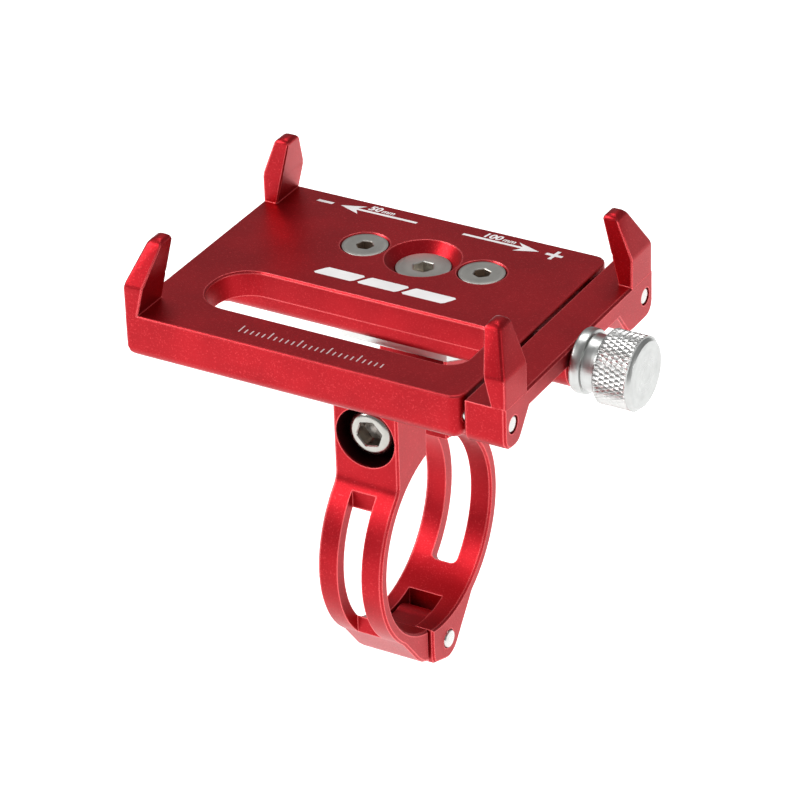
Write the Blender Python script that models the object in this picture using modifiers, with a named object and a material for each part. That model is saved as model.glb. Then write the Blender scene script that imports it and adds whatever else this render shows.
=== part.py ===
"""Phone holder for a handlebar: slotted base plate with two fixed claws, a
sliding jaw with two claws on guide rods, a thumb screw that drives the jaw,
a swivel base and a two-piece hinged bar clamp.

Frame: origin on the handlebar axis at the middle of the clamp's width,
X along the handlebar, Y across the holder (front is -Y), Z up. Metres.
"""
import math

import bmesh
import bpy
from mathutils import Matrix, Vector

MM = 0.001

# ---- driving dimensions, millimetres ---------------------------------------
GAP = 0.3                    # clearance where two pieces touch

# base plate
PLATE_TOP = 43.7             # top face above the handlebar axis
PLATE_T = 7.4
PLATE_X0, PLATE_X1 = -31.55, 25.35
PLATE_Y0, PLATE_Y1 = -27.25, 19.90
PLATE_CORNER = 2.0           # right-hand corners in plan
OUTER_CORNER = 0.55          # left-hand corners, below the claws
BOTTOM_ROUND = 1.8           # rounding of the lower edges
TOP_CHAMFER = 0.3
SLOT_X0, SLOT_X1 = -24.60, 20.95
SLOT_Y0, SLOT_Y1 = -19.35, -7.35
SLOT_R_LEFT, SLOT_R_RIGHT = 5.5, 3.2
RELIEF_X0, RELIEF_X1 = -27.8, 21.1   # pocket under the slot
RELIEF_Y0, RELIEF_Y1 = -20.6, -7.2
RELIEF_TOP = 39.5

# claws, the same on the plate and on the jaw
CLAW_DEPTH = 6.85            # across the holder at the foot
CLAW_FOOT = 2.35             # along the bar at the foot
CLAW_BEND = 4.6              # height where the outer faces start to lean
CLAW_TOP = 11.4
CLAW_NOSE = 0.9              # rounding of the tip
CLAW_INSET = 0.02            # outer faces just inside those of the plate and jaw
CLAW_LEAN_OUT, CLAW_LEAN_IN, CLAW_LEAN_SIDE = 0.39, 0.245, 0.56

# sliding jaw
JAW_X0, JAW_X1 = 25.90, 32.65
JAW_BAR_T = 3.1
JAW_LOBE_T = 7.4
JAW_LOBE_FLAT = 3.05         # bottom of the front lobe, measured from the front face
JAW_LOBE_WIDER = 3.7         # the rear lobe reaches this much further in
JAW_BOSS_R = 4.3
ROD_R = 1.2
ROD_HOLE_R = 1.42
ROD_INSET = 2.5              # rod axis from the front and back faces
AXIS_DROP = 3.6              # rod and lead screw axes below the top face
ROD_X0, ROD_X1 = -27.0, 32.55
LEAD_R = 2.45
LEAD_X0, LEAD_X1 = -26.5, 39.6
LEAD_Y = -3.67

# thumb knob
KNOB_X = (32.95, 34.75, 36.95, 43.25)   # flange, neck, grip, end
KNOB_FLANGE_R, KNOB_NECK_R, KNOB_GRIP_R = 5.0, 4.5, 5.75

# swivel
SWIVEL_Y = 7.5
BASE_SCREW_X = 10.15
BASE_FLANGE = (13.2, 6.9)    # half sizes of the step let into the underside
BASE_BLOCK = (13.2, 9.6)     # half sizes of the block under the plate
BASE_CORNER = 4.1            # flats across the block's corners
BASE_BOTTOM = 32.5
WASHER_R, WASHER_T = 6.2, 0.8   # friction washer let into the block's underside

# bar clamp
BORE_R = 16.0
BAND_R = 18.0
CLAMP_HALF_W = 5.6
SPLIT = 2.65                 # each half stops this far from the bore centre
NECK_FRONT, NECK_REAR = -11.65, 12.35
NECK_TOP_FRONT, NECK_TOP_REAR = 31.1, 32.2
BOLT_Z = 22.1
BOLT_R = 2.45
BOLT_HEAD_R = 4.15
BOLT_FACE = -10.5            # front of the bolt's head
PIN_Y, PIN_Z = 1.2, -19.9
PIN_R = 1.4
PIN_HOLE_R = 1.62
LUG_R = 3.55
REAR_SHIFT = 0.3             # the rear half is a little wider and sits this far to the right
REAR_HALF_W = 5.9
BAND_SLOT_HALF = 2.1
BAND_SLOT_FRONT = 12.6       # the front slot is a pocket milled in to this depth
COUNTERBORE_R = 5.1

FAR = 60.0
PLATE_BOTTOM = PLATE_TOP - PLATE_T
AXIS_Z = PLATE_TOP - AXIS_DROP
ROD_Y = (PLATE_Y0 + ROD_INSET, PLATE_Y1 - ROD_INSET)


# ---- scene ------------------------------------------------------------------
for _o in list(bpy.data.objects):
    bpy.data.objects.remove(_o, do_unlink=True)

PARTS = bpy.data.collections.new("phone_handlebar_mount")
CUTTERS = bpy.data.collections.new("cutters")
bpy.context.scene.collection.children.link(PARTS)
bpy.context.scene.collection.children.link(CUTTERS)


def material(name, colour, metallic, roughness):
    m = bpy.data.materials.new(name)
    m.use_nodes = True
    b = m.node_tree.nodes["Principled BSDF"]
    b.inputs["Base Color"].default_value = (*colour, 1.0)
    b.inputs["Metallic"].default_value = metallic
    b.inputs["Roughness"].default_value = roughness
    m.diffuse_color = (*colour, 1.0)
    return m


# ---- modelling helpers (all inputs in millimetres) ---------------------------
def area(pts):
    s = 0.0
    for i, (x0, y0) in enumerate(pts):
        x1, y1 = pts[(i + 1) % len(pts)]
        s += x0 * y1 - x1 * y0
    return s / 2.0


def offset(pts, d):
    """Move each corner of a counter-clockwise outline inward by d."""
    out = []
    n = len(pts)
    for i in range(n):
        a, b, c = Vector(pts[i - 1]), Vector(pts[i]), Vector(pts[(i + 1) % n])
        e0, e1 = (b - a).normalized(), (c - b).normalized()
        n0, n1 = Vector((-e0.y, e0.x)), Vector((-e1.y, e1.x))
        m = (n0 + n1) / max(1.0 + n0.dot(n1), 0.35)
        out.append((b.x + m.x * d, b.y + m.y * d))
    return out


# local axes of a piece whose own Z runs along the named world axis
TURN = {"X": Matrix(((0, 0, 1), (1, 0, 0), (0, 1, 0))),
        "Y": Matrix(((0, 1, 0), (0, 0, 1), (1, 0, 0))),
        "Z": Matrix.Identity(3)}


def place(ob, axis, a, b, h):
    """Put a piece's origin at (a, b) across the axis and h along it."""
    ob.rotation_euler = TURN[axis].to_euler()
    ob.location = TURN[axis] @ (Vector((a, b, h)) * MM)
    return ob


def add_object(name, mesh, coll):
    ob = bpy.data.objects.new(name, mesh)
    coll.objects.link(ob)
    return ob


def loft(name, rings, coll):
    """Closed body through rings of equal length: (outline, height)."""
    bm = bmesh.new()
    layers = [[bm.verts.new(Vector((a, b, h)) * MM) for a, b in outline] for outline, h in rings]
    n = len(layers[0])
    for lo, hi in zip(layers, layers[1:]):
        for i in range(n):
            j = (i + 1) % n
            bm.faces.new((lo[i], lo[j], hi[j], hi[i]))
    bm.faces.new(list(reversed(layers[0])))
    bm.faces.new(layers[-1])
    bmesh.ops.recalc_face_normals(bm, faces=bm.faces[:])
    me = bpy.data.meshes.new(name)
    bm.to_mesh(me)
    bm.free()
    return add_object(name, me, coll)


def flat_shape(name, outline, thick):
    """Filled outline of the given thickness, made from a 2D curve."""
    cu = bpy.data.curves.new(name + "_outline", "CURVE")
    cu.dimensions = "2D"
    cu.fill_mode = "BOTH"
    cu.extrude = thick * MM / 2.0
    sp = cu.splines.new("POLY")
    sp.points.add(len(outline) - 1)
    for p, (a, b) in zip(sp.points, outline):
        p.co = (a * MM, b * MM, 0.0, 1.0)
    sp.use_cyclic_u = True
    tmp = bpy.data.objects.new(name + "_outline", cu)
    bpy.context.scene.collection.objects.link(tmp)
    me = bpy.data.meshes.new_from_object(tmp.evaluated_get(bpy.context.evaluated_depsgraph_get()))
    me.name = name
    bpy.data.objects.remove(tmp, do_unlink=True)
    bm = bmesh.new()
    bm.from_mesh(me)
    bmesh.ops.remove_doubles(bm, verts=bm.verts[:], dist=0.00001)
    bmesh.ops.dissolve_limit(bm, angle_limit=0.001, verts=bm.verts[:], edges=bm.edges[:])
    bmesh.ops.recalc_face_normals(bm, faces=bm.faces[:])
    bm.to_mesh(me)
    bm.free()
    return me


def prism(name, outline, axis, h0, h1, chamfer=0.0, coll=None, origin=(0.0, 0.0)):
    pts = [(a - origin[0], b - origin[1]) for a, b in outline]
    if area(pts) < 0:
        pts.reverse()
    ob = add_object(name, flat_shape(name, pts, h1 - h0), coll or CUTTERS)
    place(ob, axis, origin[0], origin[1], (h0 + h1) / 2.0)
    if chamfer > 0:
        rim_bevel(ob, chamfer, chamfer, 1)
    return ob


def rim_bevel(ob, low, high, segments, corners=None):
    """Bevel the rims of a flat shape, low on its -Z side and high on its +Z side.

    corners gives the rounding of the upright edges from their X, 0 for none."""
    me = ob.data
    w = me.attributes.new("bevel_weight_edge", "FLOAT", "EDGE")
    big = max(low, high)
    top = max(v.co.z for v in me.vertices)
    for e in me.edges:
        z0, z1 = (me.vertices[i].co.z for i in e.vertices)
        if abs(z0 - z1) < 1e-7:
            w.data[e.index].value = (high if z0 > top - 1e-7 else low) / big
        elif corners:
            w.data[e.index].value = corners(me.vertices[e.vertices[0]].co.x / MM) / big
    m = ob.modifiers.new("rims", "BEVEL")
    m.limit_method = "WEIGHT"
    m.width = big * MM
    m.segments = segments
    m.use_clamp_overlap = False


def arc(cx, cy, r, a0, a1, n):
    return [(cx + r * math.cos(math.radians(a0 + (a1 - a0) * i / n)),
             cy + r * math.sin(math.radians(a0 + (a1 - a0) * i / n)))
            for i in range(n + 1)]


def box_outline(x0, x1, y0, y1, radii=(0, 0, 0, 0), n=5):
    """Rectangle with corner radii in the order (x0,y0), (x1,y0), (x1,y1), (x0,y1)."""
    pts = []
    for (cx, cy, sx, sy, a), r in zip(((x0, y0, 1, 1, 180), (x1, y0, -1, 1, 270),
                                       (x1, y1, -1, -1, 0), (x0, y1, 1, -1, 90)), radii):
        if r <= 0:
            pts.append((cx, cy))
        else:
            pts += arc(cx + sx * r, cy + sy * r, r, a, a + 90, n)
    return pts


def turned(name, profile, axis, centre, coll, n=40):
    """Body of revolution from (height along the axis, radius), lowest first."""
    me = bpy.data.meshes.new(name)
    line = [(0.0, profile[-1][0])] + [(r, h) for h, r in reversed(profile)] + [(0.0, profile[0][0])]
    me.from_pydata([(r * MM, 0.0, h * MM) for r, h in line],
                   [(i, i + 1) for i in range(len(line) - 1)], [])
    ob = place(add_object(name, me, coll), axis, centre[0], centre[1], 0.0)
    m = ob.modifiers.new("turn", "SCREW")
    m.axis = "Z"
    m.angle = math.radians(360.0)
    m.steps = m.render_steps = n
    m.use_merge_vertices = True
    m.merge_threshold = 0.00001
    m.use_smooth_shade = False
    return ob


def cylinder(name, axis, centre, r, h0, h1, n=28, coll=None):
    bm = bmesh.new()
    bmesh.ops.create_cone(bm, cap_ends=True, cap_tris=False, segments=n,
                          radius1=r * MM, radius2=r * MM, depth=(h1 - h0) * MM)
    me = bpy.data.meshes.new(name)
    bm.to_mesh(me)
    bm.free()
    return place(add_object(name, me, coll or CUTTERS), axis, centre[0], centre[1], (h0 + h1) / 2.0)


def boolean(ob, other, kind):
    m = ob.modifiers.new(kind.lower() + "_" + other.name, "BOOLEAN")
    m.operation = kind
    m.solver = "EXACT"
    m.object = other


def cut(ob, *others):
    for o in others:
        boolean(ob, o, "DIFFERENCE")


def join(ob, *others):
    for o in others:
        boolean(ob, o, "UNION")


def hexagon(name, axis, centre, flats, h0, h1):
    return cylinder(name, axis, centre, flats / math.sqrt(3.0), h0, h1, 6)


# ---- materials ----------------------------------------------------------------
RED_PLATE = material("red_anodised_plate", (0.42, 0.008, 0.018), 0.75, 0.42)
RED_JAW = material("red_anodised_jaw", (0.42, 0.008, 0.018), 0.75, 0.42)
RED_REAR = material("red_anodised_clamp_rear", (0.42, 0.008, 0.018), 0.75, 0.42)
RED_FRONT = material("red_anodised_clamp_front", (0.42, 0.008, 0.018), 0.75, 0.42)


def finish(ob, mat):
    ob.data.materials.clear()
    ob.data.materials.append(mat)
    return ob


# ---- claws ----------------------------------------------------------------------
def claw(name, x_out, dx, y_out, dy):
    """Leaning finger. dx, dy point from the outer faces towards the phone."""
    x_out += dx * CLAW_INSET
    y_out += dy * CLAW_INSET
    z_nose = CLAW_TOP - CLAW_NOSE
    steps = [(-1.2, 0.0), (CLAW_BEND - 0.35, 0.0), (CLAW_BEND, 0.06), (CLAW_BEND + 0.45, 0.0), (z_nose, 0.0)]
    for k in (1, 2, 3, 4):
        t = math.radians(20.0 * k)
        steps.append((z_nose + CLAW_NOSE * math.sin(t), CLAW_NOSE * (1.0 - math.cos(t))))
    rings = []
    for z, inset in steps:
        lean = max(0.0, z - CLAW_BEND)
        u0 = lean * CLAW_LEAN_OUT + inset
        u1 = CLAW_FOOT + min(z, z_nose) * CLAW_LEAN_IN - inset
        v0 = lean * CLAW_LEAN_SIDE + inset
        v1 = CLAW_DEPTH - inset
        k = min(OUTER_CORNER, 0.3 * (u1 - u0), 0.3 * (v1 - v0))
        f = 0.2 + 0.25 * inset
        # rounded outer corner, small chamfers on the other three
        uv = [(u0 + k, v0), (u1 - f, v0), (u1, v0 + f), (u1, v1 - f),
              (u1 - f, v1), (u0 + f, v1), (u0, v1 - f), (u0, v0 + k), (u0 + 0.29 * k, v0 + 0.29 * k)]
        pts = [(x_out + dx * u, y_out + dy * v) for u, v in uv]
        if area(pts) < 0:
            pts.reverse()
        rings.append((pts, PLATE_TOP + z))
    return loft(name, rings, CUTTERS)


# ---- base plate --------------------------------------------------------------
def flared_cutter(name, outline, z0, z1, r):
    """Cutter for a pocket whose lower edge is rounded by r."""
    wide = offset(outline, -r - 0.15)
    rings = [(wide, z0 - 2.0), (wide, z0 - 0.05)]
    for i in range(1, 5):
        t = math.radians(90.0 * i / 4)
        rings.append((offset(outline, -r * (1.0 - math.sin(t))), z0 + r * (1.0 - math.cos(t))))
    rings.append((outline, z1))
    return loft(name, rings, CUTTERS)


plate_outline = box_outline(PLATE_X0, PLATE_X1, PLATE_Y0, PLATE_Y1,
                            (0.0, PLATE_CORNER, PLATE_CORNER, 0.0), 4)
base_plate = prism("base_plate", plate_outline, "Z", PLATE_BOTTOM, PLATE_TOP, 0.0, PARTS,
                   (0.0, SWIVEL_Y))
rim_bevel(base_plate, BOTTOM_ROUND, TOP_CHAMFER, 3,
          lambda x: 0.0 if x > PLATE_X0 + 0.1 else OUTER_CORNER)
finish(base_plate, RED_PLATE)
join(base_plate,
     claw("claw_fixed_front", PLATE_X0, 1, PLATE_Y0, 1),
     claw("claw_fixed_rear", PLATE_X0, 1, PLATE_Y1, -1))

slot_outline = box_outline(SLOT_X0, SLOT_X1, SLOT_Y0, SLOT_Y1,
                           (SLOT_R_LEFT, SLOT_R_RIGHT, SLOT_R_RIGHT, SLOT_R_LEFT), 8)
slot_cut = loft("slot_cut", [(slot_outline, RELIEF_TOP - 1.0), (slot_outline, PLATE_TOP - TOP_CHAMFER),
                             (offset(slot_outline, -TOP_CHAMFER - 1.0), PLATE_TOP + 1.0)], CUTTERS)
relief_cut = flared_cutter("relief_cut",
                           box_outline(RELIEF_X0, RELIEF_X1, RELIEF_Y0, RELIEF_Y1, (1.6,) * 4, 3),
                           PLATE_BOTTOM, RELIEF_TOP, BOTTOM_ROUND)
bore_lead = cylinder("bore_lead", "X", (LEAD_Y, AXIS_Z), LEAD_R + 0.35, LEAD_X0 - 0.8, FAR, 28)
bore_rod_f = cylinder("bore_rod_front", "X", (ROD_Y[0], AXIS_Z), ROD_HOLE_R, ROD_X0 - 0.8, FAR, 24)
bore_rod_r = cylinder("bore_rod_rear", "X", (ROD_Y[1], AXIS_Z), ROD_HOLE_R, ROD_X0 - 0.8, FAR, 24)
pocket = prism("base_pocket",
               box_outline(-BASE_FLANGE[0] - GAP, BASE_FLANGE[0] + GAP,
                           SWIVEL_Y - BASE_FLANGE[1] - GAP, SWIVEL_Y + BASE_FLANGE[1] + GAP,
                           (2, 2, 2, 2), 3),
               "Z", PLATE_BOTTOM - 2.0, PLATE_TOP - 4.2)
centre_recess = turned("centre_recess",
                       ((PLATE_BOTTOM - 1.0, LEAD_R + 0.35), (PLATE_TOP - 3.25, LEAD_R + 0.35),
                        (PLATE_TOP - 1.3, 4.75), (PLATE_TOP + 1.0, 6.96)),
                       "Z", (0.0, SWIVEL_Y), CUTTERS, 40)
side_recess = [turned("side_recess_" + s,
                      ((PLATE_BOTTOM - 1.0, 2.25), (PLATE_TOP - 1.95, 2.25),
                       (PLATE_TOP - 0.1, 3.9), (PLATE_TOP + 1.0, 3.9)),
                      "Z", (x, SWIVEL_Y), CUTTERS, 36)
               for s, x in (("left", -BASE_SCREW_X), ("right", BASE_SCREW_X))]
cut(base_plate, relief_cut, slot_cut, bore_lead, bore_rod_f, bore_rod_r, pocket, centre_recess, *side_recess)

# ---- swivel base -----------------------------------------------------------------
swivel_base = prism("swivel_base",
                    box_outline(-BASE_BLOCK[0], BASE_BLOCK[0], SWIVEL_Y - BASE_BLOCK[1],
                                SWIVEL_Y + BASE_BLOCK[1], (BASE_CORNER,) * 4, 1),
                    "Z", BASE_BOTTOM, PLATE_BOTTOM - GAP, 0.35, PARTS)
finish(swivel_base, material("silver_swivel_base", (0.62, 0.62, 0.62), 1.0, 0.35))
base_flange = prism("base_flange",
                    box_outline(-BASE_FLANGE[0], BASE_FLANGE[0], SWIVEL_Y - BASE_FLANGE[1],
                                SWIVEL_Y + BASE_FLANGE[1], (1.8, 1.8, 1.8, 1.8), 3),
                    "Z", PLATE_BOTTOM - 1.0, PLATE_TOP - 4.5)
join(swivel_base, base_flange)
cut(swivel_base,
    cylinder("base_bore", "Z", (0.0, SWIVEL_Y), LEAD_R + 0.35, 20.0, 50.0, 32),
    cylinder("base_tap_left", "Z", (-BASE_SCREW_X, SWIVEL_Y), 2.25, 20.0, 50.0, 24),
    cylinder("base_tap_right", "Z", (BASE_SCREW_X, SWIVEL_Y), 2.25, 20.0, 50.0, 24),
    cylinder("washer_seat", "Z", (0.0, SWIVEL_Y), WASHER_R + GAP, 20.0,
             BASE_BOTTOM + WASHER_T + GAP, 32))

swivel_washer = turned("swivel_washer",
                       ((BASE_BOTTOM, WASHER_R), (BASE_BOTTOM + WASHER_T, WASHER_R)),
                       "Z", (0.0, SWIVEL_Y), PARTS, 32)
finish(swivel_washer, material("nylon_washer", (0.75, 0.74, 0.7), 0.0, 0.5))
cut(swivel_washer, cylinder("washer_bore", "Z", (0.0, SWIVEL_Y), LEAD_R + 0.35, 20.0, 60.0, 32))


# ---- countersunk screws ---------------------------------------------------------
def csk(name, x, y, top, head_r, r, length, flats, deep, colour):
    prof = ((top - length, r - 0.35), (top - length + 0.4, r), (top - (head_r - r), r), (top, head_r))
    ob = turned(name, prof, "Z", (x, y), PARTS, 36)
    finish(ob, material(name, colour, 1.0, 0.38))
    cut(ob, hexagon(name + "_hex", "Z", (x, y), flats, top - deep, top + 1.0))
    return ob


STEEL = (0.52, 0.51, 0.49)
csk("base_screw_left", -BASE_SCREW_X, SWIVEL_Y, PLATE_TOP - 0.1, 3.6, 1.95, 9.5, 2.5, 1.6, STEEL)
csk("base_screw_right", BASE_SCREW_X, SWIVEL_Y, PLATE_TOP - 0.1, 3.6, 1.95, 9.5, 2.5, 1.6, STEEL)
csk("swivel_screw", 0.0, SWIVEL_Y, PLATE_TOP - 1.45, 4.3, LEAD_R, 16.0, 3.0, 2.2, STEEL)

# ---- sliding jaw -----------------------------------------------------------------
y0, y1, ym = PLATE_Y0, PLATE_Y1, LEAD_Y
zt, zb, zbar = PLATE_TOP, PLATE_TOP - JAW_LOBE_T, PLATE_TOP - JAW_BAR_T
r_out = 2.3


def lobe(edge, side, flat):
    """End of the jaw from its outer face to the bar; side points inwards."""
    def at(u, z):
        return (edge + side * u, z)
    pts = [at(0.0, zt), at(0.0, zb + r_out)]
    pts += [at(r_out - r_out * math.cos(math.radians(a)), zb + r_out - r_out * math.sin(math.radians(a)))
            for a in (22.5, 45.0, 67.5, 90.0)]
    pts += [at(flat + 2.3 * math.sin(math.radians(a)), zb + 2.3 * (1.0 - math.cos(math.radians(a))))
            for a in (0.0, 18.0, 36.0, 54.0)]
    return pts + [at(flat + 4.45, zbar)]


half = lobe(y0, 1, JAW_LOBE_FLAT)
boss_a = math.degrees(math.asin((zbar - AXIS_Z) / JAW_BOSS_R))
boss = arc(ym, AXIS_Z, JAW_BOSS_R, 180 - boss_a, 360 + boss_a, 18)
mirror = list(reversed(lobe(y1, -1, JAW_LOBE_FLAT + JAW_LOBE_WIDER)))
moving_jaw = prism("moving_jaw", half + boss + mirror, "X", JAW_X0, JAW_X1, 0.35, PARTS)
finish(moving_jaw, RED_JAW)
join(moving_jaw,
     claw("claw_jaw_front", JAW_X1, -1, y0, 1),
     claw("claw_jaw_rear", JAW_X1, -1, y1, -1))
cut(moving_jaw,
    cylinder("jaw_bore", "X", (ym, AXIS_Z), LEAD_R + 0.35, 0.0, FAR, 28),
    cylinder("jaw_clip_seat", "X", (ym, AXIS_Z), 3.15, 0.0, JAW_X0 + 1.3, 28),
    cylinder("jaw_rod_front", "X", (ROD_Y[0], AXIS_Z), ROD_HOLE_R, 0.0, FAR, 24),
    cylinder("jaw_rod_rear", "X", (ROD_Y[1], AXIS_Z), ROD_HOLE_R, 0.0, FAR, 24))

for s, y in (("front", ROD_Y[0]), ("rear", ROD_Y[1])):
    rod = turned("guide_rod_" + s,
                 ((ROD_X0, ROD_R - 0.3), (ROD_X0 + 0.3, ROD_R), (ROD_X1 - 0.2, ROD_R), (ROD_X1, ROD_R - 0.2)),
                 "X", (y, AXIS_Z), PARTS, 28)
    finish(rod, material("steel_rod_" + s, (0.6, 0.6, 0.58), 1.0, 0.25))

# ---- lead screw, clip and thumb knob: they turn about their own axis ------------------
g0 = JAW_X0 + 0.2
lead_screw = turned("lead_screw",
                    ((LEAD_X0, LEAD_R - 0.5), (LEAD_X0 + 0.5, LEAD_R), (g0, LEAD_R), (g0, 2.0),
                     (g0 + 1.0, 2.0), (g0 + 1.0, LEAD_R), (LEAD_X1, LEAD_R)),
                    "X", (ym, AXIS_Z), PARTS, 28)
finish(lead_screw, material("steel_lead_screw", (0.5, 0.5, 0.49), 1.0, 0.3))
screw_clip = turned("screw_clip", ((g0 + 0.25, 2.85), (g0 + 0.75, 2.85)), "X", (ym, AXIS_Z), PARTS, 28)
finish(screw_clip, material("steel_clip", (0.35, 0.35, 0.35), 1.0, 0.35))
cut(screw_clip, cylinder("clip_bore", "X", (ym, AXIS_Z), 2.25, 0.0, FAR, 28))

k0, k1, k2, k3 = KNOB_X
thumb_knob = turned("thumb_knob",
                    ((k0, KNOB_FLANGE_R - 0.3), (k0 + 0.3, KNOB_FLANGE_R), (k1 - 0.3, KNOB_FLANGE_R),
                     (k1, KNOB_NECK_R), (k2, KNOB_NECK_R), (k2 + 0.01, KNOB_GRIP_R - 0.6),
                     (k2 + 0.6, KNOB_GRIP_R), (k3 - 0.9, KNOB_GRIP_R), (k3, KNOB_GRIP_R - 0.9)),
                    "X", (ym, AXIS_Z), PARTS, 48)
finish(thumb_knob, material("silver_knob", (0.75, 0.76, 0.77), 1.0, 0.3))
cut(thumb_knob, cylinder("knob_bore", "X", (ym, AXIS_Z), LEAD_R + GAP, 0.0, LEAD_X1 + 0.3, 28))

# ---- bar clamp, rear half ---------------------------------------------------------------
def circle_z(r, y):
    return math.sqrt(max(r * r - y * y, 0.0))


def ang(y, z):
    return math.degrees(math.atan2(z, y))


def neck_blend(y, side):
    """Small fillet between the neck's flat face and the round band (R = 3)."""
    f = 3.0
    cy = y + side * f
    cz = math.sqrt((BAND_R + f) ** 2 - cy * cy)
    a_band = math.degrees(math.atan2(-cz, -cy))
    if side > 0:
        return arc(cy, cz, f, 180.0, a_band % 360.0, 4)
    a = a_band if a_band < 0 else a_band - 360.0
    return arc(cy, cz, f, 0.0, a, 4)


blend_r = neck_blend(NECK_REAR, 1)
a0 = ang(*blend_r[-1])
lug_join = -59.0
rear = [(SPLIT, NECK_TOP_REAR), (NECK_REAR, NECK_TOP_REAR)] + blend_r
rear += arc(0, 0, BAND_R, a0, lug_join, 22)[1:]
rear += arc(PIN_Y, PIN_Z, LUG_R, -38, -98, 6)
rear += arc(PIN_Y, PIN_Z, LUG_R + 1.4, -155, -180, 3)
yl = PIN_Y - LUG_R - 1.4
rear += arc(0, 0, BORE_R, ang(yl, -circle_z(BORE_R, yl)), ang(SPLIT, circle_z(BORE_R, SPLIT)), 34)
clamp_half_rear = prism("clamp_half_rear", rear, "X", REAR_SHIFT - REAR_HALF_W, REAR_SHIFT + REAR_HALF_W,
                        0.35, PARTS)
finish(clamp_half_rear, RED_REAR)
# the slot's ends follow lines from the bore outwards, and its corners are rounded
rear_band_slot = prism("rear_band_slot",
                       [(7.06, -9.96), (15.16, -15.8), (30.0, -15.8), (30.0, 15.8), (15.16, 15.8), (7.06, 9.96)],
                       "X", REAR_SHIFT - 2.25, REAR_SHIFT + 2.25)
rim_bevel(rear_band_slot, 0.9, 0.9, 3)
cut(clamp_half_rear,
    prism("fork_gap", box_outline(-9.0, PIN_Y + LUG_R + 0.35, -27.0, -13.0), "X", -3.0, 3.0),
    rear_band_slot,
    cylinder("pin_hole_rear", "X", (PIN_Y, PIN_Z), PIN_HOLE_R, -20.0, 20.0, 28),
    cylinder("swivel_hole", "Z", (0.0, SWIVEL_Y), LEAD_R + 0.35, 25.7, 60.0, 28),
    cylinder("bolt_hole_rear", "Y", (BOLT_Z, 0.0), 2.9, 0.0, 8.6, 28))

# ---- bar clamp, front half --------------------------------------------------------------
blend_f = neck_blend(NECK_FRONT, -1)
a1 = ang(*blend_f[-1])
front = [(-SPLIT, NECK_TOP_FRONT), (NECK_FRONT, NECK_TOP_FRONT)] + blend_f
front += arc(0, 0, BAND_R, a1, 231.0, 20)[1:]
front += [(-7.4, -19.0), (-5.9, -20.4)]
front += arc(PIN_Y, PIN_Z, LUG_R + 1.7, -163, -180, 2)
yf = PIN_Y - LUG_R - 1.7
front += arc(0, 0, BORE_R, ang(yf, -circle_z(BORE_R, yf)), ang(-SPLIT, circle_z(BORE_R, SPLIT)) - 360.0, 34)
clamp_half_front = prism("clamp_half_front", front, "X", -CLAMP_HALF_W, CLAMP_HALF_W, 0.35, PARTS, (PIN_Y, PIN_Z))
finish(clamp_half_front, RED_FRONT)
tongue = [(-7.0, -15.4), (-6.6, -18.9), (-5.4, -20.1)]
tongue += arc(PIN_Y, PIN_Z, LUG_R, -112, 112, 16)
tongue += [(-4.3, -16.0)]
join(clamp_half_front, prism("tongue", tongue, "X", -2.7, 2.7))
cut(clamp_half_front,
    prism("front_band_slot", box_outline(-30.0, -BAND_SLOT_FRONT, -13.6, 13.6), "X",
          -BAND_SLOT_HALF, BAND_SLOT_HALF),
    cylinder("pin_hole_front", "X", (PIN_Y, PIN_Z), PIN_HOLE_R, -20.0, 20.0, 28),
    cylinder("bolt_hole_front", "Y", (BOLT_Z, 0.0), 2.8, -20.0, 0.0, 28),
    turned("bolt_counterbore", ((-20.0, COUNTERBORE_R), (-5.05, COUNTERBORE_R)), "Y", (BOLT_Z, 0.0), CUTTERS, 40))

hinge_pin = turned("hinge_pin",
                   ((-5.95, PIN_R - 0.25), (-5.7, PIN_R), (6.3, PIN_R), (6.55, PIN_R - 0.25)),
                   "X", (PIN_Y, PIN_Z), PARTS, 28)
finish(hinge_pin, material("steel_hinge_pin", (0.6, 0.6, 0.58), 1.0, 0.28))

# ---- clamp bolt ----------------------------------------------------------------------------
clamp_bolt = turned("clamp_bolt",
                    ((BOLT_FACE, BOLT_HEAD_R - 0.6), (BOLT_FACE + 0.5, BOLT_HEAD_R), (-5.35, BOLT_HEAD_R),
                     (-5.34, BOLT_R), (6.15, BOLT_R), (6.65, BOLT_R - 0.5)),
                    "Y", (BOLT_Z, 0.0), PARTS, 36)
finish(clamp_bolt, material("steel_clamp_bolt", (0.62, 0.61, 0.58), 1.0, 0.25))
cut(clamp_bolt, hexagon("clamp_bolt_hex", "Y", (BOLT_Z, 0.0), 4.0, -12.0, BOLT_FACE + 2.6))

for _o in CUTTERS.objects:
    _o.hide_render = True
    _o.display_type = "WIRE"

for _o in PARTS.objects:
    _o.data.shade_smooth()
    _o.data.set_sharp_from_angle(angle=math.radians(30.0))
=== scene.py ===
"""Looks of the phone handlebar mount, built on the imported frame.

All sizes below are in millimetres in the row frame: origin on the handlebar
axis, X along the bar, front is -Y, Z up.
"""

import math

import bmesh
import bpy
from mathutils import Matrix, Vector


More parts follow.
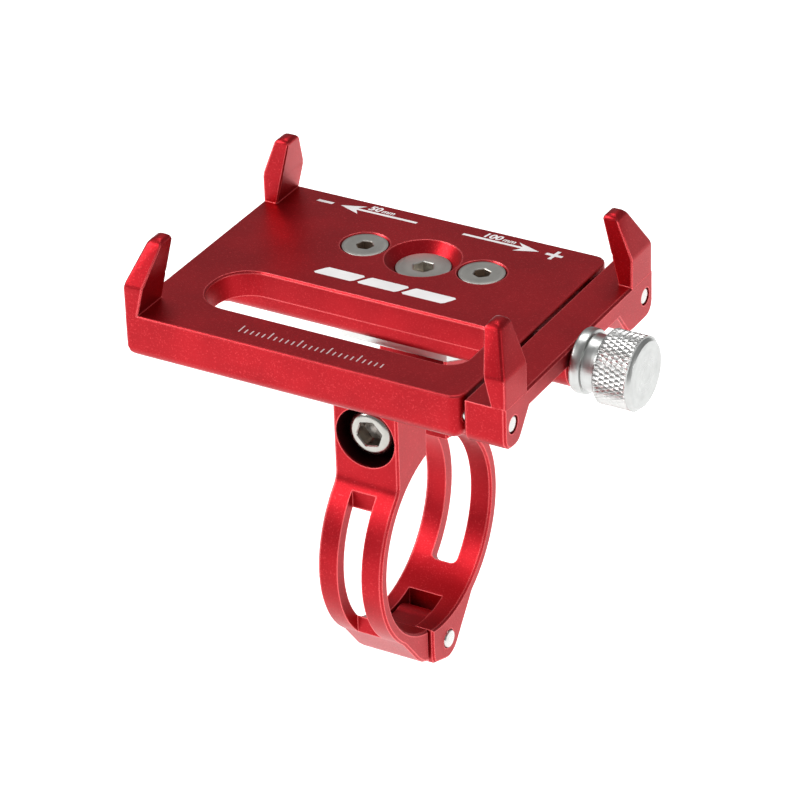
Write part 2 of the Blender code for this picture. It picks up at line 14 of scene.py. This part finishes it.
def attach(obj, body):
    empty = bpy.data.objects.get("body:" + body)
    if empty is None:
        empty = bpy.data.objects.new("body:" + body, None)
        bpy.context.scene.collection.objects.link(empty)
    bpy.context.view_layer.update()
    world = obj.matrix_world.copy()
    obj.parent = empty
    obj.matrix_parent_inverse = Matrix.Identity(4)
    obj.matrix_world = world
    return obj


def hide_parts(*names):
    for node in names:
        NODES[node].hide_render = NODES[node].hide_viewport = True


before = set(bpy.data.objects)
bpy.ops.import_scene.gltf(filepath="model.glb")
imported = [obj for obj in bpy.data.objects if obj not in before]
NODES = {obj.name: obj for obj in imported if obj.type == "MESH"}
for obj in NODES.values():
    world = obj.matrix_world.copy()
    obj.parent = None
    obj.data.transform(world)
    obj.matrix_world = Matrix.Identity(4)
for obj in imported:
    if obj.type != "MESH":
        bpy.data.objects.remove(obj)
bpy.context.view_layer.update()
MM = 0.001


# ---- camera ---------------------------------------------------------------------
cam = bpy.data.cameras.new("camera")
cam.sensor_width = 36.0
cam.lens = 180.6
cam.clip_start = 0.01
cam.clip_end = 50.0
cam_ob = bpy.data.objects.new("camera", cam)
bpy.context.scene.collection.objects.link(cam_ob)
RIGHT = (0.870551, 0.491149, -0.030232)
UP = (-0.225050, 0.452026, 0.863148)
BACK = (0.437600, -0.744611, 0.504045)
PLACE = (0.268063, -0.457006, 0.331908)
view_matrix = Matrix.Identity(4)
for i in range(3):
    view_matrix[i][0], view_matrix[i][1], view_matrix[i][2], view_matrix[i][3] = RIGHT[i], UP[i], BACK[i], PLACE[i]
cam_ob.matrix_world = view_matrix
bpy.context.scene.camera = cam_ob
bpy.context.scene.view_settings.view_transform = "Standard"


# ---- material helpers ---------------------------------------------------------------
class Nodes:
    """Small helper to wire a node material."""

    def __init__(self, name):
        self.mat = bpy.data.materials.new(name)
        self.mat.use_nodes = True
        self.tree = self.mat.node_tree
        self.tree.nodes.clear()
        self.out = self.new("ShaderNodeOutputMaterial")
        self.bsdf = self.new("ShaderNodeBsdfPrincipled")
        self.link(self.bsdf, "BSDF", self.out, "Surface")
        self.coord = self.new("ShaderNodeTexCoord")

    def new(self, kind, **values):
        n = self.tree.nodes.new(kind)
        for k, v in values.items():
            setattr(n, k, v)
        return n

    def link(self, a, out, b, inp):
        self.tree.links.new(a.outputs[out], b.inputs[inp])

    def noise(self, scale, detail=2.0, rough=0.5, vec=None):
        n = self.new("ShaderNodeTexNoise")
        n.inputs["Scale"].default_value = scale
        n.inputs["Detail"].default_value = detail
        n.inputs["Roughness"].default_value = rough
        if vec is None:
            self.link(self.coord, "Object", n, "Vector")
        else:
            self.link(vec[0], vec[1], n, "Vector")
        return n

    def span(self, src, out, lo, hi, a=0.0, b=1.0):
        n = self.new("ShaderNodeMapRange")
        n.inputs["From Min"].default_value = a
        n.inputs["From Max"].default_value = b
        n.inputs["To Min"].default_value = lo
        n.inputs["To Max"].default_value = hi
        self.link(src, out, n, "Value")
        return n

    def math(self, op, a, b=None):
        n = self.new("ShaderNodeMath", operation=op)
        for i, v in enumerate((a, b)):
            if v is None:
                continue
            if isinstance(v, (int, float)):
                n.inputs[i].default_value = v
            else:
                self.tree.links.new(v, n.inputs[i])
        return n.outputs[0]

    def mix(self, fac, a, b):
        n = self.new("ShaderNodeMix", data_type="RGBA")
        if isinstance(fac, (int, float)):
            n.inputs[0].default_value = fac
        else:
            self.tree.links.new(fac, n.inputs[0])
        for i, v in ((6, a), (7, b)):
            if isinstance(v, tuple):
                n.inputs[i].default_value = (*v, 1.0)
            else:
                self.tree.links.new(v, n.inputs[i])
        return n.outputs[2]

    def soft_edges(self, radius, height=None, strength=0.3, distance=0.00003):
        """Normals rounded over the edges, with an optional bump on top."""
        bevel = self.new("ShaderNodeBevel", samples=4)
        bevel.inputs["Radius"].default_value = radius
        if height is None:
            self.link(bevel, "Normal", self.bsdf, "Normal")
            return
        bump = self.new("ShaderNodeBump")
        bump.inputs["Strength"].default_value = strength
        bump.inputs["Distance"].default_value = distance
        self.tree.links.new(height, bump.inputs["Height"])
        self.link(bevel, "Normal", bump, "Normal")
        self.link(bump, "Normal", self.bsdf, "Normal")

    def edge_highlight_mask(self, radius):
        """1 along convex edges, for a painted highlight where the chamfers catch the light."""
        bevel = self.new("ShaderNodeBevel", samples=4)
        bevel.inputs["Radius"].default_value = radius
        geo = self.new("ShaderNodeNewGeometry")
        dot = self.new("ShaderNodeVectorMath", operation="DOT_PRODUCT")
        self.link(bevel, "Normal", dot, 0)
        self.link(geo, "Normal", dot, 1)
        return self.span(dot, "Value", 0.95, 0.0, 0.90, 0.995).outputs[0]

    def set(self, **values):
        for k, v in values.items():
            self.bsdf.inputs[k.replace("_", " ")].default_value = v


def red_anodised(name, painted_shade_zone=None):
    """Bead-blasted aluminium, anodised red: a fine matt grain under a thin clear skin."""
    m = Nodes(name)
    m.set(Metallic=0.94, IOR=1.5)
    m.bsdf.inputs["Coat Weight"].default_value = 0.12
    m.bsdf.inputs["Coat Roughness"].default_value = 0.38
    grain = m.noise(7500.0, 2.0, 0.6)
    patch = m.noise(120.0, 3.0, 0.5)
    speck = m.noise(4200.0, 1.0, 0.5)
    col = m.mix(m.span(patch, "Fac", 0.0, 1.0, 0.35, 0.65).outputs[0], (0.340, 0.0040, 0.0095), (0.410, 0.0060, 0.0125))
    col = m.mix(m.span(speck, "Fac", 0.0, 0.45, 0.58, 0.74).outputs[0], col, (0.70, 0.050, 0.060))
    # painted highlight: lighter red along the convex edges, where the chamfers catch the light
    col = m.mix(m.edge_highlight_mask(0.00034), col, (1.0, 0.17, 0.18))
    if painted_shade_zone:
        # painted shade: near-black red inside the counterbore, where the recess lies in shadow
        col = m.mix(painted_shade_zone(m), col, (0.085, 0.004, 0.007))
    m.tree.links.new(col, m.bsdf.inputs["Base Color"])
    rough = m.span(grain, "Fac", 0.36, 0.48, 0.3, 0.7)
    m.link(rough, 0, m.bsdf, "Roughness")
    m.soft_edges(0.00014, grain.outputs["Fac"], 0.60, 0.00003)
    return m.mat


def counterbore_shade(m):
    """1 inside the counterbore of the clamp bolt, where painted shade darkens the red for the shadow in the recess."""
    sep = m.new("ShaderNodeSeparateXYZ")
    m.link(m.coord, "Object", sep, "Vector")
    x, y, z = sep.outputs
    dz = m.math("SUBTRACT", z, 0.0221)
    r = m.math("SQRT", m.math("ADD", m.math("MULTIPLY", x, x), m.math("MULTIPLY", dz, dz)))
    near = m.math("LESS_THAN", r, 0.00525)
    deep = m.math("GREATER_THAN", y, -0.01125)
    outer = m.math("LESS_THAN", y, -0.0045)
    return m.math("MULTIPLY", m.math("MULTIPLY", near, deep), outer)


def turned_metal(name, colour, rough, axis, centre, rings=2600.0, strength=0.25, edge=0.0001, socket_painted_light=None, grime=0.0):
    """Turned metal: fine rings round the axis, with uneven brightness."""
    m = Nodes(name)
    m.set(Metallic=1.0)
    sep = m.new("ShaderNodeSeparateXYZ")
    m.link(m.coord, "Object", sep, "Vector")
    i, j = {"X": (1, 2), "Y": (0, 2), "Z": (0, 1)}[axis]
    k = {"X": 0, "Y": 1, "Z": 2}[axis]
    a = m.math("SUBTRACT", sep.outputs[i], centre[0] * MM)
    b = m.math("SUBTRACT", sep.outputs[j], centre[1] * MM)
    r = m.math("SQRT", m.math("ADD", m.math("MULTIPLY", a, a), m.math("MULTIPLY", b, b)))
    comb = m.new("ShaderNodeCombineXYZ")
    m.tree.links.new(r, comb.inputs[0])
    m.tree.links.new(sep.outputs[k], comb.inputs[1])
    line = m.noise(rings, 3.0, 0.6, (comb, "Vector"))
    patch = m.noise(420.0, 3.0, 0.6)
    c0 = tuple(v * 0.86 for v in colour)
    col = m.mix(m.span(patch, "Fac", 0.0, 1.0, 0.3, 0.7).outputs[0], c0, colour)
    if grime > 0:
        col = m.mix(m.span(m.noise(1500.0, 4.0, 0.7), "Fac", 0.0, grime, 0.55, 0.75).outputs[0], col,
                    tuple(v * 0.45 for v in colour))
    # painted light inside the socket: painted shade for the bolt and side screws, a lighter painted highlight for the
    # centre screw
    if socket_painted_light is not None:
        inside = m.math("LESS_THAN", r, socket_painted_light[0] * MM)
        below = m.math(socket_painted_light[3], sep.outputs[k], socket_painted_light[1] * MM)
        col = m.mix(m.math("MULTIPLY", inside, below), col, socket_painted_light[2])
    m.tree.links.new(col, m.bsdf.inputs["Base Color"])
    m.link(m.span(line, "Fac", rough - 0.06, rough + 0.08, 0.3, 0.7), 0, m.bsdf, "Roughness")
    m.soft_edges(edge * 1.0, line.outputs["Fac"], strength, 0.00002)
    return m.mat


def plain_metal(name, colour, rough, scale=3000.0, strength=0.2, edge=0.0001, metallic=1.0):
    m = Nodes(name)
    m.set(Metallic=metallic)
    grain = m.noise(scale, 3.0, 0.6)
    patch = m.noise(300.0, 2.0, 0.5)
    col = m.mix(m.span(patch, "Fac", 0.0, 1.0, 0.3, 0.7).outputs[0], tuple(v * 0.88 for v in colour), colour)
    m.tree.links.new(col, m.bsdf.inputs["Base Color"])
    m.link(m.span(grain, "Fac", rough - 0.05, rough + 0.07, 0.3, 0.7), 0, m.bsdf, "Roughness")
    m.soft_edges(edge, grain.outputs["Fac"], strength, 0.00002)
    return m.mat


RED = red_anodised("red_anodised")
# clamp front half: the same red, with painted shade inside the counterbore
RED_CLAMP_FRONT = red_anodised("red_anodised_counterbore_shade", counterbore_shade)
SILVER_BASE = plain_metal("silver_base", (0.62, 0.62, 0.61), 0.34)
NYLON = plain_metal("nylon", (0.75, 0.74, 0.70), 0.5, 2500.0, 0.15, 0.0001, 0.0)
CLIP = plain_metal("spring_steel", (0.20, 0.20, 0.20), 0.35)
INK = plain_metal("white_print", (0.86, 0.84, 0.84), 0.55, 5000.0, 0.12, 0.00003, 0.0)
INK_FINE = plain_metal("grey_print", (0.62, 0.46, 0.47), 0.55, 5000.0, 0.12, 0.00003, 0.0)


# ---- mesh helpers ---------------------------------------------------------------------
TURN = {"X": Matrix(((0, 0, 1), (1, 0, 0), (0, 1, 0))),
        "Y": Matrix(((0, 1, 0), (0, 0, 1), (1, 0, 0))),
        "Z": Matrix.Identity(3)}


def new_object(name, bm, mats):
    me = bpy.data.meshes.new(name)
    bm.to_mesh(me)
    bm.free()
    for m in mats if isinstance(mats, (list, tuple)) else [mats]:
        me.materials.append(m)
    ob = bpy.data.objects.new(name, me)
    bpy.context.scene.collection.objects.link(ob)
    return ob


def revolve(name, axis, centre, rows, n, mats, body, nodes, sharp=30.0, flat_rows=(), split=None, slot_of_row=None):
    """Closed body round an axis. A row is (height, radius), where the radius may
    be a function of the angle; its ends are closed at the axis."""
    bm = bmesh.new()
    t = TURN[axis]

    def put(a, b, h):
        return bm.verts.new((t @ Vector((centre[0] + a, centre[1] + b, h))) * MM)

    rings = []
    for h, r in rows:
        ring = []
        for i in range(n):
            w = 2.0 * math.pi * i / n
            rr = r(w, h) if callable(r) else r
            ring.append(put(rr * math.cos(w), rr * math.sin(w), h))
        rings.append(ring)
    flat = []
    for j, (lo, hi) in enumerate(zip(rings, rings[1:])):
        for i in range(n):
            k = (i + 1) % n
            quad = (lo[i], lo[k], hi[k], hi[i])
            if j in flat_rows and split:
                if split(i, j):
                    f = [bm.faces.new((quad[0], quad[1], quad[2])), bm.faces.new((quad[0], quad[2], quad[3]))]
                else:
                    f = [bm.faces.new((quad[0], quad[1], quad[3])), bm.faces.new((quad[1], quad[2], quad[3]))]
                flat += f
            else:
                f = [bm.faces.new(quad)]
            for g in f:
                g.material_index = slot_of_row(j) if slot_of_row else 0
    for ring, h, low in ((rings[0], rows[0][0], True), (rings[-1], rows[-1][0], False)):
        c = put(0.0, 0.0, h)
        for i in range(n):
            k = (i + 1) % n
            f = bm.faces.new((c, ring[k], ring[i]) if low else (c, ring[i], ring[k]))
            f.material_index = slot_of_row(0 if low else len(rings) - 2) if slot_of_row else 0
    for f in bm.faces:
        f.smooth = True
    for f in flat:
        f.smooth = False
    ob = new_object(name, bm, mats)
    ob.data.set_sharp_from_angle(angle=math.radians(sharp))
    if nodes:
        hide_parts(*nodes)
    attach(ob, body)
    return ob


def hex_radius(flats, turn=0.0, corner=0.985):
    """Radius of a hexagon at an angle, its corners a little rounded."""
    def r(w, h):
        a = (math.degrees(w) - turn) % 60.0 - 30.0
        return min(flats / 2.0 / math.cos(math.radians(a)), corner * flats / math.sqrt(3.0))
    return r


def sheet(name, outlines, body, mat, z0=43.690, z1=43.712):
    """Thin printed marks on the plate: a list of outlines in (x, y)."""
    bm = bmesh.new()
    for pts in outlines:
        s = sum(pts[i][0] * pts[(i + 1) % len(pts)][1] - pts[(i + 1) % len(pts)][0] * pts[i][1] for i in range(len(pts)))
        if s < 0:
            pts = list(reversed(pts))
        lo = [bm.verts.new(Vector((x, y, z0)) * MM) for x, y in pts]
        hi = [bm.verts.new(Vector((x, y, z1)) * MM) for x, y in pts]
        bm.faces.new(list(reversed(lo)))
        bm.faces.new(hi)
        for i in range(len(pts)):
            k = (i + 1) % len(pts)
            bm.faces.new((lo[i], lo[k], hi[k], hi[i]))
    bmesh.ops.triangulate(bm, faces=[f for f in bm.faces if len(f.verts) > 4])
    ob = new_object(name, bm, mat)
    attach(ob, body)
    return ob


def lettering(name, words, size, x, y, squeeze, body, mat, bold=0.02):
    """Plain figures as a thin printed mark."""
    cu = bpy.data.curves.new(name, "FONT")
    cu.body = words
    cu.size = size * MM
    cu.shear = 0.22
    cu.offset = bold * size * MM
    cu.extrude = 0.011 * MM
    tmp = bpy.data.objects.new(name + "_text", cu)
    bpy.context.scene.collection.objects.link(tmp)
    me = bpy.data.meshes.new_from_object(tmp.evaluated_get(bpy.context.evaluated_depsgraph_get()))
    bpy.data.objects.remove(tmp, do_unlink=True)
    bm = bmesh.new()
    bm.from_mesh(me)
    bmesh.ops.remove_doubles(bm, verts=bm.verts[:], dist=1e-7)
    for v in bm.verts:
        v.co = Vector((v.co.x * squeeze + x * MM, v.co.y + y * MM, v.co.z + 43.701 * MM))
    ob = new_object(name, bm, mat)
    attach(ob, body)
    return ob


# ---- solids carried over from the frame ----------------------------------------------
def dress(node, mat, split=42.0):
    ob = NODES[node]
    me = ob.data
    me.materials.clear()
    me.materials.append(mat)
    for p in me.polygons:
        p.use_smooth = True
        p.material_index = 0
    if me.attributes.get("custom_normal"):
        me.attributes.remove(me.attributes["custom_normal"])
    w = ob.modifiers.new("weld", "WELD")
    w.merge_threshold = 0.000002
    e = ob.modifiers.new("edges", "EDGE_SPLIT")
    e.split_angle = math.radians(split)
    e.use_edge_sharp = False
    nrm = ob.modifiers.new("normals", "WEIGHTED_NORMAL")
    nrm.mode = "FACE_AREA"
    nrm.weight = 50
    nrm.keep_sharp = False
    return ob


for node, mat in (("base_plate", RED), ("moving_jaw", RED), ("clamp_half_rear", RED),
                  ("clamp_half_front", RED_CLAMP_FRONT), ("swivel_base", SILVER_BASE),
                  ("swivel_washer", NYLON), ("screw_clip", CLIP)):
    dress(node, mat)

# ---- thumb knob with a diamond knurl ---------------------------------------------------
AXIS_YZ = (-3.67, 40.1)
K0, K1, K2, K3 = 32.95, 34.75, 36.95, 43.25
DIAMONDS, STEPS, PITCH, KNURL = 46, 4, 1.65, 0.25
GRIP_R = 5.75
G0, G1 = K2 + 0.45, K3 - 0.72
ROWS = int(round((G1 - G0) / PITCH * STEPS))
DX = (G1 - G0) / ROWS


def knurl_height(i, row):
    """Pyramids between two sets of helical grooves, at the grid's own corners."""
    a = (i + row) / STEPS
    b = (i - row) / STEPS
    ga = 2.0 * abs(a - math.floor(a + 0.5))
    gb = 2.0 * abs(b - math.floor(b + 0.5))
    return min(ga, gb, 0.86)


N_KNOB = DIAMONDS * STEPS


def knurl_radius(row):
    def r(w, h):
        i = int(round(w / (2.0 * math.pi) * N_KNOB))
        fade = min(1.0, row / 1.0, (ROWS - row) / 1.0)
        return GRIP_R - KNURL * (1.0 - knurl_height(i, row)) * (0.35 + 0.65 * fade)
    return r


head = [(K0, 4.55), (K0 + 0.08, 4.85), (K0 + 0.32, 5.0), (K1 - 0.32, 5.0), (K1 - 0.08, 4.88), (K1, 4.6),
        (K1 + 0.03, 4.46), (K1 + 0.30, 4.36), (K2 - 0.30, 4.36), (K2 - 0.05, 4.5), (K2, 4.9), (K2 + 0.05, 5.25)]
tail = [(K3 - 0.62, 5.46), (K3 - 0.25, 5.26), (K3 - 0.06, 5.08), (K3, 4.85), (K3 - 0.02, 4.2), (K3 - 0.03, 2.0),
        (K3 - 0.03, 0.6)]
grip = [(G0 + DX * j, knurl_radius(j)) for j in range(ROWS + 1)]
first = len(head)
knurl_rows = set(range(first, first + ROWS))


def knurl_split(i, j):
    row = j - first
    k = i + 1
    low0 = knurl_height(i, row) + knurl_height(k, row + 1)
    low1 = knurl_height(k, row) + knurl_height(i, row + 1)
    return low0 <= low1


SILVER_KNOB = turned_metal("silver_knob", (0.53, 0.54, 0.53), 0.32, "X", AXIS_YZ, 2300.0, 0.30)
SILVER_KNURL = plain_metal("silver_knurl", (0.60, 0.60, 0.59), 0.30, 2600.0, 0.2, 0.00005)
revolve("thumb_knob_knurled", "X", AXIS_YZ, head + grip + tail, N_KNOB, [SILVER_KNOB, SILVER_KNURL], "knob",
        ["thumb_knob"], 28.0, knurl_rows, knurl_split,
        lambda j: 1 if j in knurl_rows else 0)


# ---- threads -------------------------------------------------------------------------------
def thread_radius(major, depth, pitch, start, end, hand=1.0):
    def r(w, h):
        t = (h / pitch - hand * w / (2.0 * math.pi)) % 1.0
        v = abs(2.0 * t - 1.0)
        full = major - depth * min(1.0, max(0.0, 1.12 * (1.0 - v) - 0.06))
        lead = min(h - start, end - h)
        return min(full, major - depth + max(0.0, lead) * 1.1)
    return r


def rows_between(h0, h1, step, r):
    k = max(2, int(round((h1 - h0) / step)))
    return [(h0 + (h1 - h0) * i / k, r) for i in range(k + 1)]


STEEL_THREAD = plain_metal("thread_steel", (0.56, 0.55, 0.53), 0.30, 3500.0, 0.15, 0.00004)
g0 = 26.1
lead = thread_radius(2.45, 0.42, 0.8, -26.5, g0)
rows = rows_between(-26.5, g0, 0.08, lead)
rows += [(g0 + 0.02, 2.0), (g0 + 0.98, 2.0), (g0 + 1.0, 2.43), (39.4, 2.43), (39.55, 2.3)]
revolve("lead_screw_threaded", "X", AXIS_YZ, rows, 40, STEEL_THREAD, "knob", ["lead_screw"], 40.0)

# ---- clamp bolt: button head with a rim and a hex socket ------------------------------------
BOLT_XZ = (22.1, 0.0)     # (z, x): the turned axes of Y
# painted shade: darker steel inside the hex socket
BOLT = turned_metal("bolt_steel", (0.44, 0.43, 0.40), 0.20, "Y", (0.0, 22.1), 1800.0, 0.18,
                    socket_painted_light=(2.3, -10.2, (0.36, 0.33, 0.30), "GREATER_THAN"))
sock = hex_radius(3.8, 18.0)
F = -10.5
rows = [(F + 2.9, 0.25), (F + 2.7, 1.2), (F + 2.5, sock), (F + 0.20, sock),
        (F + 0.02, lambda w, h: sock(w, h) + 0.18), (F, 2.62), (F + 0.02, 2.85), (F + 0.10, 3.12),
        (F + 0.28, 3.42), (F + 0.55, 3.66), (F + 0.90, 3.80), (F + 1.3, 3.85), (F + 1.35, 3.80), (F + 4.8, 3.80),
        (-5.45, 3.78), (-5.35, 3.70), (-5.34, 2.6), (-5.2, 2.42)]
bolt_thread = thread_radius(2.44, 0.40, 0.8, -5.2, 6.65)
rows += rows_between(-5.1, 6.6, 0.08, bolt_thread) + [(6.65, 1.85)]
revolve("clamp_bolt_threaded", "Y", BOLT_XZ, rows, 72, BOLT, "bolt", ["clamp_bolt"], 32.0)


# ---- countersunk screws ------------------------------------------------------------------------
def csk(name, node, x, y, top, head_r, shank, length, flats, deep, turn, body, mat):
    s = hex_radius(flats, turn)
    bottom = top - length
    rows = [(bottom, shank - 0.35), (bottom + 0.4, shank)]
    rows += rows_between(bottom + 0.45, top - (head_r - shank) - 0.25, 0.07,
                         thread_radius(shank, 0.32, 0.7, bottom, top - (head_r - shank) - 0.1))
    rows += [(top - (head_r - shank), shank), (top - 0.16, head_r - 0.04), (top - 0.1, head_r), (top - 0.03, head_r - 0.03),
             (top, head_r - 0.12), (top - 0.005, head_r - 0.6), (top, flats * 0.5 + 0.62),
             (top - 0.01, lambda w, h: s(w, h) + 0.14), (top - 0.14, s), (top - deep, s),
             (top - deep - 0.12, flats * 0.3), (top - deep - 0.35, 0.15)]
    return revolve(name, "Z", (x, y), rows, 60, mat, body, [node], 30.0)


for side, x, turn in (("left", -10.15, 12.0), ("right", 10.15, 41.0)):
    # painted shade: darker steel inside the hex sockets
    m = turned_metal("screw_steel_" + side, (0.47, 0.46, 0.43), 0.40, "Z", (x, 7.5), 3000.0, 0.35,
                     socket_painted_light=(1.5, 43.5, (0.36, 0.30, 0.25), "LESS_THAN"), grime=0.25)
    csk("base_screw_%s_turned" % side, "base_screw_" + side, x, 7.5, 43.6, 3.6, 1.95, 9.5, 2.4, 1.5, turn, "holder", m)
# painted highlight: lighter steel inside the socket of the centre screw
m = turned_metal("screw_steel_centre", (0.50, 0.49, 0.46), 0.38, "Z", (0.0, 7.5), 2600.0, 0.35,
                 socket_painted_light=(1.85, 42.1, (0.58, 0.55, 0.50), "LESS_THAN"), grime=0.2)
csk("swivel_screw_turned", "swivel_screw", 0.0, 7.5, 42.25, 4.3, 2.45, 16.0, 3.0, 2.0, 0.0, "bar_clamp", m)

# ---- guide rods and hinge pin -------------------------------------------------------------------
for side, y in (("front", -24.75), ("rear", 17.4)):
    m = turned_metal("bright_steel_" + side, (0.66, 0.65, 0.63), 0.24, "X", (y, 40.1), 2600.0, 0.2)
    rows = [(-27.0, 0.9), (-26.75, 1.22), (32.30, 1.24), (32.45, 1.17), (32.53, 0.95), (32.55, 0.5)]
    revolve("guide_rod_%s_ground" % side, "X", (y, 40.1), rows, 48, m, "jaw", ["guide_rod_" + side], 30.0)
PIN = turned_metal("bright_steel_pin", (0.66, 0.65, 0.63), 0.26, "X", (1.2, -19.9), 2600.0, 0.2)
rows = [(-5.95, 0.8), (-5.88, 1.2), (-5.6, 1.5), (6.2, 1.5), (6.45, 1.36), (6.53, 1.0), (6.55, 0.5)]
revolve("hinge_pin_ground", "X", (1.2, -19.9), rows, 48, PIN, "bar_clamp", ["hinge_pin"], 30.0)


# ---- printed marks on the plate ---------------------------------------------------------------
def bar(x0, x1, y, t, lean=0.0):
    return [(x0 - lean, y - t / 2), (x1 - lean, y - t / 2), (x1 + lean, y + t / 2), (x0 + lean, y + t / 2)]


YM = 17.0
marks = [bar(-24.05, -21.30, YM, 0.62, 0.1),
         [(-19.95, YM), (-15.90, YM + 1.35), (-17.00, YM + 0.26), (-6.35, YM + 0.26), (-6.45, YM - 0.26), (-17.00, YM - 0.26), (-16.2, YM - 1.35)],
         [(14.85, YM), (10.80, YM + 1.35), (11.90, YM + 0.26), (1.75, YM + 0.26), (1.65, YM - 0.26), (11.90, YM - 0.26), (11.0, YM - 1.35)],
         bar(16.05, 18.85, YM, 0.6, 0.05),
         [(17.0, YM - 1.4), (17.6, YM - 1.4), (17.75, YM - 0.3), (17.15, YM - 0.3)],
         [(17.25, YM + 0.3), (17.85, YM + 0.3), (18.0, YM + 1.4), (17.4, YM + 1.4)]]
sheet("printed_arrows", marks, "holder", INK)
lettering("printed_50", "50", 1.85, -15.5, 17.62, 1.15, "holder", INK, 0.03)
lettering("printed_50_mm", "mm", 1.45, -13.1, 17.58, 1.0, "holder", INK, 0.02)
lettering("printed_100", "100", 1.85, 4.6, 17.62, 1.15, "holder", INK, 0.03)
lettering("printed_100_mm", "mm", 1.45, 8.1, 17.58, 1.0, "holder", INK, 0.02)


def slanted(x0, x1, y0, y1, lean=1.1, r=0.35):
    """Parallelogram with clipped corners."""
    return [(x0 + r, y0), (x1 - r - lean, y0), (x1 - lean + 0.1, y0 + r), (x1, y1 - r), (x1 - r, y1),
            (x0 + lean + r, y1), (x0 + lean, y1 - r), (x0, y0 + r)]


stripes = [slanted(-12.75, -4.9, -3.75, -1.35), slanted(-5.2, 2.7, -3.75, -1.35), slanted(2.4, 10.75, -3.75, -1.35)]
sheet("printed_stripes", stripes, "holder", INK)
ticks = []
for i in range(25):
    x = -13.4 + i * 1.0
    ticks.append(bar(x, x + 0.22, -24.45 + (0.95 if i % 5 == 0 else 0.55), 1.9 if i % 5 == 0 else 1.1, 0.0))
sheet("printed_scale", ticks, "holder", INK_FINE)


# ---- floor, lights, world ---------------------------------------------------------------------
FLOOR = -0.066             # the mount hangs on its bar: the floor is clear of the opened clamp
bm = bmesh.new()
bmesh.ops.create_circle(bm, cap_ends=True, segments=96, radius=4.0, matrix=Matrix.Translation((0.0, 0.0, FLOOR)))
fm = Nodes("pale_floor")
fm.set(Base_Color=(0.93, 0.93, 0.93, 1.0), Roughness=0.8)
fm.bsdf.inputs["Emission Color"].default_value = (1.0, 1.0, 1.0, 1.0)
fm.bsdf.inputs["Emission Strength"].default_value = 0.70
floor = new_object("floor", bm, fm.mat)


def area(name, place, size, power, aim=(0.0, 0.0, 0.03), size_y=None):
    li = bpy.data.lights.new(name, "AREA")
    li.shape = "RECTANGLE"
    li.size = size
    li.size_y = size_y or size
    li.energy = power
    ob = bpy.data.objects.new(name, li)
    bpy.context.scene.collection.objects.link(ob)
    ob.location = place
    ob.rotation_euler = (Vector(aim) - Vector(place)).to_track_quat("-Z", "Y").to_euler()
    return ob


area("key_left", (-0.85, -0.60, 0.70), 0.60, 13.0)
area("side_right", (1.0, -0.10, 0.30), 0.50, 2.6)
area("top", (-0.15, 0.35, 1.10), 0.50, 4.0)

world = bpy.data.worlds.new("studio")
bpy.context.scene.world = world
world.use_nodes = True
wt = world.node_tree
bg = wt.nodes["Background"]
bg.inputs["Color"].default_value = (1.0, 1.0, 1.0, 1.0)
bg.inputs["Strength"].default_value = 0.30
